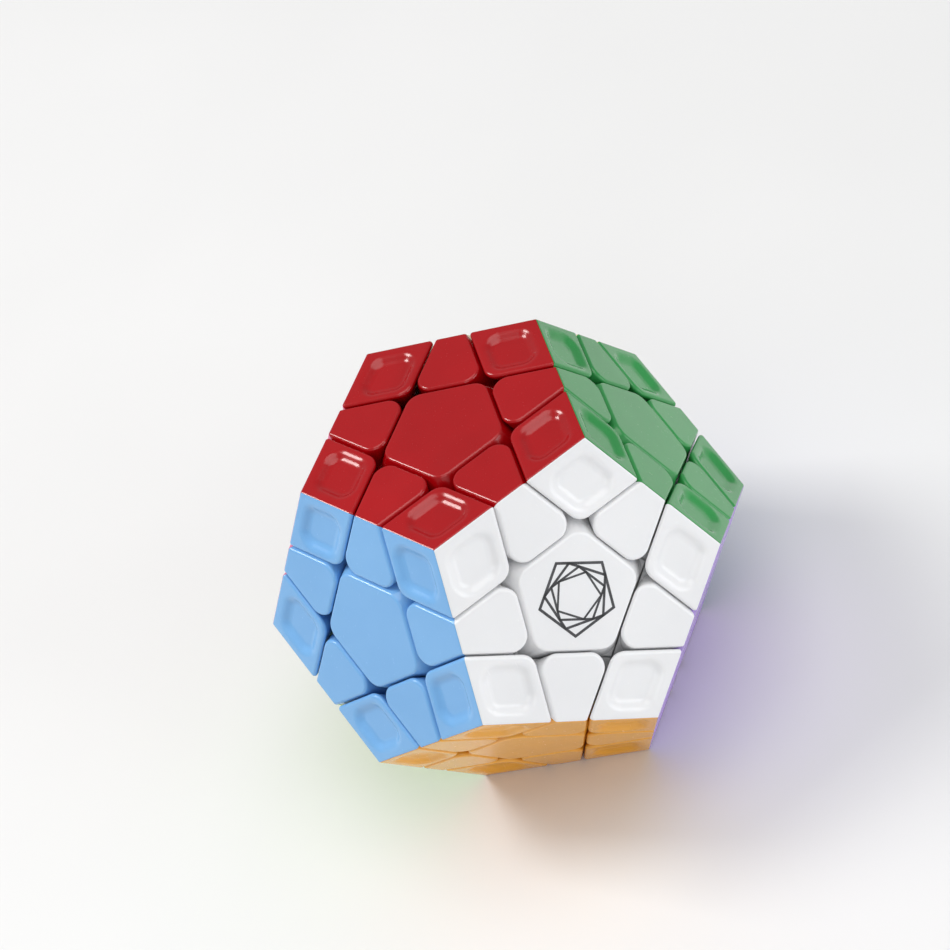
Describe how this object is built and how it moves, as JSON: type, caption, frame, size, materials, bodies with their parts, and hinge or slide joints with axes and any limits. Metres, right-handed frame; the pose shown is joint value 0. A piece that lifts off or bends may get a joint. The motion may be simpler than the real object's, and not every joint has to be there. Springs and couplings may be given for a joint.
{
  "type": "dodecahedron twisty puzzle",
  "caption": "Dodecahedron twisty puzzle: each face is a layer of dished corners, trapezoid edges and a pentagon centre that turns about its own sprung screw.",
  "frame": {"origin": "centre of the core, which is the centre of the dodecahedron", "axes": "+Z out of the red face along its screw; -Y on the white face's side; the puzzle stands on its orange face, which points to -Z"},
  "size_m": [0.0786, 0.0826, 0.067],
  "materials": {
    "red_plastic": "gloss",
    "white_plastic": "gloss",
    "green_plastic": "gloss",
    "cream_plastic": "gloss",
    "pink_plastic": "gloss",
    "sky_plastic": "gloss",
    "orange_plastic": "gloss",
    "grey_plastic": "gloss",
    "lime_plastic": "gloss",
    "yellow_plastic": "gloss",
    "purple_plastic": "gloss",
    "blue_plastic": "gloss",
    "core_plastic": "satin",
    "screw_steel": "brushed",
    "spring_steel": "satin"
  },
  "bodies": {
    "core": {"core": "core_plastic", "centre_springs": "spring_steel", "centre_screws_and_washers": "screw_steel", "centre_orange": "orange_plastic"},
    "red_centre": {"centre_red": "red_plastic"},
    "white_centre": {"centre_white": "white_plastic"},
    "green_centre": {"centre_green": "green_plastic"},
    "cream_centre": {"centre_cream": "cream_plastic"},
    "pink_centre": {"centre_pink": "pink_plastic"},
    "sky_centre": {"centre_sky": "sky_plastic"},
    "grey_centre": {"centre_grey": "grey_plastic", "edge_orange_grey": "orange_plastic"},
    "lime_centre": {"centre_lime": "lime_plastic", "edge_orange_lime": "orange_plastic"},
    "yellow_centre": {"centre_yellow": "yellow_plastic", "edge_orange_yellow": "orange_plastic"},
    "purple_centre": {"centre_purple": "purple_plastic", "edge_orange_purple": "orange_plastic"},
    "blue_centre": {"centre_blue": "blue_plastic", "edge_orange_blue": "orange_plastic"},
    "white_red_edge": {"edge_red_white": "red_plastic"},
    "red_green_edge": {"edge_red_green": "red_plastic"},
    "cream_red_edge": {"edge_red_cream": "red_plastic"},
    "red_pink_edge": {"edge_red_pink": "red_plastic"},
    "red_sky_edge": {"edge_red_sky": "red_plastic"},
    "white_green_edge": {"edge_white_green": "white_plastic"},
    "white_sky_edge": {"edge_white_sky": "white_plastic"},
    "white_yellow_edge": {"edge_white_yellow": "white_plastic"},
    "white_purple_edge": {"edge_white_purple": "white_plastic"},
    "cream_green_edge": {"edge_green_cream": "green_plastic"},
    "green_purple_edge": {"edge_green_purple": "green_plastic"},
    "green_blue_edge": {"edge_green_blue": "green_plastic"},
    "cream_pink_edge": {"edge_cream_pink": "cream_plastic"},
    "cream_grey_edge": {"edge_cream_grey": "cream_plastic"},
    "cream_blue_edge": {"edge_cream_blue": "cream_plastic"},
    "pink_sky_edge": {"edge_pink_sky": "pink_plastic"},
    "pink_grey_edge": {"edge_pink_grey": "pink_plastic"},
    "lime_pink_edge": {"edge_pink_lime": "pink_plastic"},
    "lime_sky_edge": {"edge_sky_lime": "sky_plastic"},
    "sky_yellow_edge": {"edge_sky_yellow": "sky_plastic"},
    "lime_grey_edge": {"edge_grey_lime_and_corner_orange": "grey_plastic"},
    "grey_blue_edge": {"edge_grey_blue_and_corner_orange": "grey_plastic"},
    "lime_yellow_edge": {"edge_lime_yellow_and_corner_orange": "lime_plastic"},
    "yellow_purple_edge": {"edge_yellow_purple_and_corner_orange": "yellow_plastic"},
    "purple_blue_edge": {"edge_purple_blue_and_corner_orange": "purple_plastic"},
    "white_red_green_corner": {"corner_red_white_green": "red_plastic"},
    "white_red_sky_corner": {"corner_red_white_sky": "red_plastic"},
    "cream_red_green_corner": {"corner_red_green_cream": "red_plastic"},
    "cream_red_pink_corner": {"corner_red_cream_pink": "red_plastic"},
    "red_pink_sky_corner": {"corner_red_pink_sky": "red_plastic"},
    "white_green_purple_corner": {"corner_white_green_purple": "white_plastic"},
    "white_sky_yellow_corner": {"corner_white_sky_yellow": "white_plastic"},
    "white_yellow_purple_corner": {"corner_white_yellow_purple": "white_plastic"},
    "cream_green_blue_corner": {"corner_green_cream_blue": "green_plastic"},
    "green_purple_blue_corner": {"corner_green_purple_blue": "green_plastic"},
    "cream_pink_grey_corner": {"corner_cream_pink_grey": "cream_plastic"},
    "cream_grey_blue_corner": {"corner_cream_grey_blue": "cream_plastic"},
    "lime_pink_sky_corner": {"corner_pink_sky_lime": "pink_plastic"},
    "lime_pink_grey_corner": {"corner_pink_grey_lime": "pink_plastic"},
    "lime_sky_yellow_corner": {"corner_sky_lime_yellow": "sky_plastic"}
  },
  "joints": [
    {"name": "turn_red", "type": "hinge", "parent": "core", "child": "red_centre", "pos_m": [0, 0, 0], "axis": [0, 0, 1], "continuous": true},
    {"name": "turn_white", "type": "hinge", "parent": "core", "child": "white_centre", "pos_m": [0, 0, 0], "axis": [0, -0.8944, 0.4472], "range_deg": [-360, 360]},
    {"name": "turn_green", "type": "hinge", "parent": "core", "child": "green_centre", "pos_m": [0, 0, 0], "axis": [0.8507, -0.2764, 0.4472], "range_deg": [-360, 360]},
    {"name": "turn_cream", "type": "hinge", "parent": "core", "child": "cream_centre", "pos_m": [0, 0, 0], "axis": [0.5257, 0.7236, 0.4472], "range_deg": [-360, 360]},
    {"name": "turn_pink", "type": "hinge", "parent": "core", "child": "pink_centre", "pos_m": [0, 0, 0], "axis": [-0.5257, 0.7236, 0.4472], "range_deg": [-360, 360]},
    {"name": "turn_sky", "type": "hinge", "parent": "core", "child": "sky_centre", "pos_m": [0, 0, 0], "axis": [-0.8507, -0.2764, 0.4472], "range_deg": [-360, 360]},
    {"name": "turn_grey", "type": "hinge", "parent": "core", "child": "grey_centre", "pos_m": [0, 0, 0], "axis": [0, 0.8944, -0.4472], "continuous": true},
    {"name": "turn_lime", "type": "hinge", "parent": "core", "child": "lime_centre", "pos_m": [0, 0, 0], "axis": [-0.8507, 0.2764, -0.4472], "range_deg": [-360, 360]},
    {"name": "turn_yellow", "type": "hinge", "parent": "core", "child": "yellow_centre", "pos_m": [0, 0, 0], "axis": [-0.5257, -0.7236, -0.4472], "continuous": true},
    {"name": "turn_purple", "type": "hinge", "parent": "core", "child": "purple_centre", "pos_m": [0, 0, 0], "axis": [0.5257, -0.7236, -0.4472], "range_deg": [-360, 360]},
    {"name": "turn_blue", "type": "hinge", "parent": "core", "child": "blue_centre", "pos_m": [0, 0, 0], "axis": [0.8507, 0.2764, -0.4472], "range_deg": [-360, 360]},
    {"name": "white_red_edge_with_red", "type": "hinge", "parent": "white_centre", "child": "white_red_edge", "pos_m": [0, 0, 0], "axis": [0, 0, 1], "continuous": true},
    {"name": "red_green_edge_with_green", "type": "hinge", "parent": "red_centre", "child": "red_green_edge", "pos_m": [0, 0, 0], "axis": [0.8507, -0.2764, 0.4472], "range_deg": [-360, 360]},
    {"name": "cream_red_edge_with_red", "type": "hinge", "parent": "cream_centre", "child": "cream_red_edge", "pos_m": [0, 0, 0], "axis": [0, 0, 1], "continuous": true},
    {"name": "red_pink_edge_with_pink", "type": "hinge", "parent": "red_centre", "child": "red_pink_edge", "pos_m": [0, 0, 0], "axis": [-0.5257, 0.7236, 0.4472], "range_deg": [-360, 360]},
    {"name": "red_sky_edge_with_sky", "type": "hinge", "parent": "red_centre", "child": "red_sky_edge", "pos_m": [0, 0, 0], "axis": [-0.8507, -0.2764, 0.4472], "range_deg": [-360, 360]},
    {"name": "white_green_edge_with_green", "type": "hinge", "parent": "white_centre", "child": "white_green_edge", "pos_m": [0, 0, 0], "axis": [0.8507, -0.2764, 0.4472], "range_deg": [-360, 360]},
    {"name": "white_sky_edge_with_sky", "type": "hinge", "parent": "white_centre", "child": "white_sky_edge", "pos_m": [0, 0, 0], "axis": [-0.8507, -0.2764, 0.4472], "range_deg": [-360, 360]},
    {"name": "white_yellow_edge_with_yellow", "type": "hinge", "parent": "white_centre", "child": "white_yellow_edge", "pos_m": [0, 0, 0], "axis": [-0.5257, -0.7236, -0.4472], "continuous": true},
    {"name": "white_purple_edge_with_purple", "type": "hinge", "parent": "white_centre", "child": "white_purple_edge", "pos_m": [0, 0, 0], "axis": [0.5257, -0.7236, -0.4472], "range_deg": [-360, 360]},
    {"name": "cream_green_edge_with_green", "type": "hinge", "parent": "cream_centre", "child": "cream_green_edge", "pos_m": [0, 0, 0], "axis": [0.8507, -0.2764, 0.4472], "range_deg": [-360, 360]},
    {"name": "green_purple_edge_with_purple", "type": "hinge", "parent": "green_centre", "child": "green_purple_edge", "pos_m": [0, 0, 0], "axis": [0.5257, -0.7236, -0.4472], "range_deg": [-360, 360]},
    {"name": "green_blue_edge_with_blue", "type": "hinge", "parent": "green_centre", "child": "green_blue_edge", "pos_m": [0, 0, 0], "axis": [0.8507, 0.2764, -0.4472], "range_deg": [-360, 360]},
    {"name": "cream_pink_edge_with_pink", "type": "hinge", "parent": "cream_centre", "child": "cream_pink_edge", "pos_m": [0, 0, 0], "axis": [-0.5257, 0.7236, 0.4472], "range_deg": [-360, 360]},
    {"name": "cream_grey_edge_with_grey", "type": "hinge", "parent": "cream_centre", "child": "cream_grey_edge", "pos_m": [0, 0, 0], "axis": [0, 0.8944, -0.4472], "continuous": true},
    {"name": "cream_blue_edge_with_blue", "type": "hinge", "parent": "cream_centre", "child": "cream_blue_edge", "pos_m": [0, 0, 0], "axis": [0.8507, 0.2764, -0.4472], "range_deg": [-360, 360]},
    {"name": "pink_sky_edge_with_sky", "type": "hinge", "parent": "pink_centre", "child": "pink_sky_edge", "pos_m": [0, 0, 0], "axis": [-0.8507, -0.2764, 0.4472], "range_deg": [-360, 360]},
    {"name": "pink_grey_edge_with_grey", "type": "hinge", "parent": "pink_centre", "child": "pink_grey_edge", "pos_m": [0, 0, 0], "axis": [0, 0.8944, -0.4472], "continuous": true},
    {"name": "lime_pink_edge_with_pink", "type": "hinge", "parent": "lime_centre", "child": "lime_pink_edge", "pos_m": [0, 0, 0], "axis": [-0.5257, 0.7236, 0.4472], "range_deg": [-360, 360]},
    {"name": "lime_sky_edge_with_sky", "type": "hinge", "parent": "lime_centre", "child": "lime_sky_edge", "pos_m": [0, 0, 0], "axis": [-0.8507, -0.2764, 0.4472], "range_deg": [-360, 360]},
    {"name": "sky_yellow_edge_with_yellow", "type": "hinge", "parent": "sky_centre", "child": "sky_yellow_edge", "pos_m": [0, 0, 0], "axis": [-0.5257, -0.7236, -0.4472], "continuous": true},
    {"name": "lime_grey_edge_with_grey", "type": "hinge", "parent": "lime_centre", "child": "lime_grey_edge", "pos_m": [0, 0, 0], "axis": [0, 0.8944, -0.4472], "continuous": true},
    {"name": "grey_blue_edge_with_blue", "type": "hinge", "parent": "grey_centre", "child": "grey_blue_edge", "pos_m": [0, 0, 0], "axis": [0.8507, 0.2764, -0.4472], "range_deg": [-360, 360]},
    {"name": "lime_yellow_edge_with_yellow", "type": "hinge", "parent": "lime_centre", "child": "lime_yellow_edge", "pos_m": [0, 0, 0], "axis": [-0.5257, -0.7236, -0.4472], "continuous": true},
    {"name": "yellow_purple_edge_with_purple", "type": "hinge", "parent": "yellow_centre", "child": "yellow_purple_edge", "pos_m": [0, 0, 0], "axis": [0.5257, -0.7236, -0.4472], "range_deg": [-360, 360]},
    {"name": "purple_blue_edge_with_blue", "type": "hinge", "parent": "purple_centre", "child": "purple_blue_edge", "pos_m": [0, 0, 0], "axis": [0.8507, 0.2764, -0.4472], "range_deg": [-360, 360]},
    {"name": "white_red_green_corner_with_green", "type": "hinge", "parent": "white_red_edge", "child": "white_red_green_corner", "pos_m": [0, 0, 0], "axis": [0.8507, -0.2764, 0.4472], "range_deg": [-360, 360]},
    {"name": "white_red_sky_corner_with_sky", "type": "hinge", "parent": "white_red_edge", "child": "white_red_sky_corner", "pos_m": [0, 0, 0], "axis": [-0.8507, -0.2764, 0.4472], "range_deg": [-360, 360]},
    {"name": "cream_red_green_corner_with_green", "type": "hinge", "parent": "cream_red_edge", "child": "cream_red_green_corner", "pos_m": [0, 0, 0], "axis": [0.8507, -0.2764, 0.4472], "range_deg": [-360, 360]},
    {"name": "cream_red_pink_corner_with_pink", "type": "hinge", "parent": "cream_red_edge", "child": "cream_red_pink_corner", "pos_m": [0, 0, 0], "axis": [-0.5257, 0.7236, 0.4472], "range_deg": [-360, 360]},
    {"name": "red_pink_sky_corner_with_sky", "type": "hinge", "parent": "red_pink_edge", "child": "red_pink_sky_corner", "pos_m": [0, 0, 0], "axis": [-0.8507, -0.2764, 0.4472], "range_deg": [-360, 360]},
    {"name": "white_green_purple_corner_with_purple", "type": "hinge", "parent": "white_green_edge", "child": "white_green_purple_corner", "pos_m": [0, 0, 0], "axis": [0.5257, -0.7236, -0.4472], "range_deg": [-360, 360]},
    {"name": "white_sky_yellow_corner_with_yellow", "type": "hinge", "parent": "white_sky_edge", "child": "white_sky_yellow_corner", "pos_m": [0, 0, 0], "axis": [-0.5257, -0.7236, -0.4472], "continuous": true},
    {"name": "white_yellow_purple_corner_with_purple", "type": "hinge", "parent": "white_yellow_edge", "child": "white_yellow_purple_corner", "pos_m": [0, 0, 0], "axis": [0.5257, -0.7236, -0.4472], "range_deg": [-360, 360]},
    {"name": "cream_green_blue_corner_with_blue", "type": "hinge", "parent": "cream_green_edge", "child": "cream_green_blue_corner", "pos_m": [0, 0, 0], "axis": [0.8507, 0.2764, -0.4472], "range_deg": [-360, 360]},
    {"name": "green_purple_blue_corner_with_blue", "type": "hinge", "parent": "green_purple_edge", "child": "green_purple_blue_corner", "pos_m": [0, 0, 0], "axis": [0.8507, 0.2764, -0.4472], "range_deg": [-360, 360]},
    {"name": "cream_pink_grey_corner_with_grey", "type": "hinge", "parent": "cream_pink_edge", "child": "cream_pink_grey_corner", "pos_m": [0, 0, 0], "axis": [0, 0.8944, -0.4472], "continuous": true},
    {"name": "cream_grey_blue_corner_with_blue", "type": "hinge", "parent": "cream_grey_edge", "child": "cream_grey_blue_corner", "pos_m": [0, 0, 0], "axis": [0.8507, 0.2764, -0.4472], "range_deg": [-360, 360]},
    {"name": "lime_pink_sky_corner_with_sky", "type": "hinge", "parent": "lime_pink_edge", "child": "lime_pink_sky_corner", "pos_m": [0, 0, 0], "axis": [-0.8507, -0.2764, 0.4472], "range_deg": [-360, 360]},
    {"name": "lime_pink_grey_corner_with_grey", "type": "hinge", "parent": "lime_pink_edge", "child": "lime_pink_grey_corner", "pos_m": [0, 0, 0], "axis": [0, 0.8944, -0.4472], "continuous": true},
    {"name": "lime_sky_yellow_corner_with_yellow", "type": "hinge", "parent": "lime_sky_edge", "child": "lime_sky_yellow_corner", "pos_m": [0, 0, 0], "axis": [-0.5257, -0.7236, -0.4472], "continuous": true}
  ],
  "couplings": [
    {"joint": "white_red_edge_with_red", "follows": "turn_red", "ratio": 1},
    {"joint": "red_green_edge_with_green", "follows": "turn_green", "ratio": 1},
    {"joint": "cream_red_edge_with_red", "follows": "turn_red", "ratio": 1},
    {"joint": "red_pink_edge_with_pink", "follows": "turn_pink", "ratio": 1},
    {"joint": "red_sky_edge_with_sky", "follows": "turn_sky", "ratio": 1},
    {"joint": "white_green_edge_with_green", "follows": "turn_green", "ratio": 1},
    {"joint": "white_sky_edge_with_sky", "follows": "turn_sky", "ratio": 1},
    {"joint": "white_yellow_edge_with_yellow", "follows": "turn_yellow", "ratio": 1},
    {"joint": "white_purple_edge_with_purple", "follows": "turn_purple", "ratio": 1},
    {"joint": "cream_green_edge_with_green", "follows": "turn_green", "ratio": 1},
    {"joint": "green_purple_edge_with_purple", "follows": "turn_purple", "ratio": 1},
    {"joint": "green_blue_edge_with_blue", "follows": "turn_blue", "ratio": 1},
    {"joint": "cream_pink_edge_with_pink", "follows": "turn_pink", "ratio": 1},
    {"joint": "cream_grey_edge_with_grey", "follows": "turn_grey", "ratio": 1},
    {"joint": "cream_blue_edge_with_blue", "follows": "turn_blue", "ratio": 1},
    {"joint": "pink_sky_edge_with_sky", "follows": "turn_sky", "ratio": 1},
    {"joint": "pink_grey_edge_with_grey", "follows": "turn_grey", "ratio": 1},
    {"joint": "lime_pink_edge_with_pink", "follows": "turn_pink", "ratio": 1},
    {"joint": "lime_sky_edge_with_sky", "follows": "turn_sky", "ratio": 1},
    {"joint": "sky_yellow_edge_with_yellow", "follows": "turn_yellow", "ratio": 1},
    {"joint": "lime_grey_edge_with_grey", "follows": "turn_grey", "ratio": 1},
    {"joint": "grey_blue_edge_with_blue", "follows": "turn_blue", "ratio": 1},
    {"joint": "lime_yellow_edge_with_yellow", "follows": "turn_yellow", "ratio": 1},
    {"joint": "yellow_purple_edge_with_purple", "follows": "turn_purple", "ratio": 1},
    {"joint": "purple_blue_edge_with_blue", "follows": "turn_blue", "ratio": 1},
    {"joint": "white_red_green_corner_with_green", "follows": "turn_green", "ratio": 1},
    {"joint": "white_red_sky_corner_with_sky", "follows": "turn_sky", "ratio": 1},
    {"joint": "cream_red_green_corner_with_green", "follows": "turn_green", "ratio": 1},
    {"joint": "cream_red_pink_corner_with_pink", "follows": "turn_pink", "ratio": 1},
    {"joint": "red_pink_sky_corner_with_sky", "follows": "turn_sky", "ratio": 1},
    {"joint": "white_green_purple_corner_with_purple", "follows": "turn_purple", "ratio": 1},
    {"joint": "white_sky_yellow_corner_with_yellow", "follows": "turn_yellow", "ratio": 1},
    {"joint": "white_yellow_purple_corner_with_purple", "follows": "turn_purple", "ratio": 1},
    {"joint": "cream_green_blue_corner_with_blue", "follows": "turn_blue", "ratio": 1},
    {"joint": "green_purple_blue_corner_with_blue", "follows": "turn_blue", "ratio": 1},
    {"joint": "cream_pink_grey_corner_with_grey", "follows": "turn_grey", "ratio": 1},
    {"joint": "cream_grey_blue_corner_with_blue", "follows": "turn_blue", "ratio": 1},
    {"joint": "lime_pink_sky_corner_with_sky", "follows": "turn_sky", "ratio": 1},
    {"joint": "lime_pink_grey_corner_with_grey", "follows": "turn_grey", "ratio": 1},
    {"joint": "lime_sky_yellow_corner_with_yellow", "follows": "turn_yellow", "ratio": 1}
  ]
}
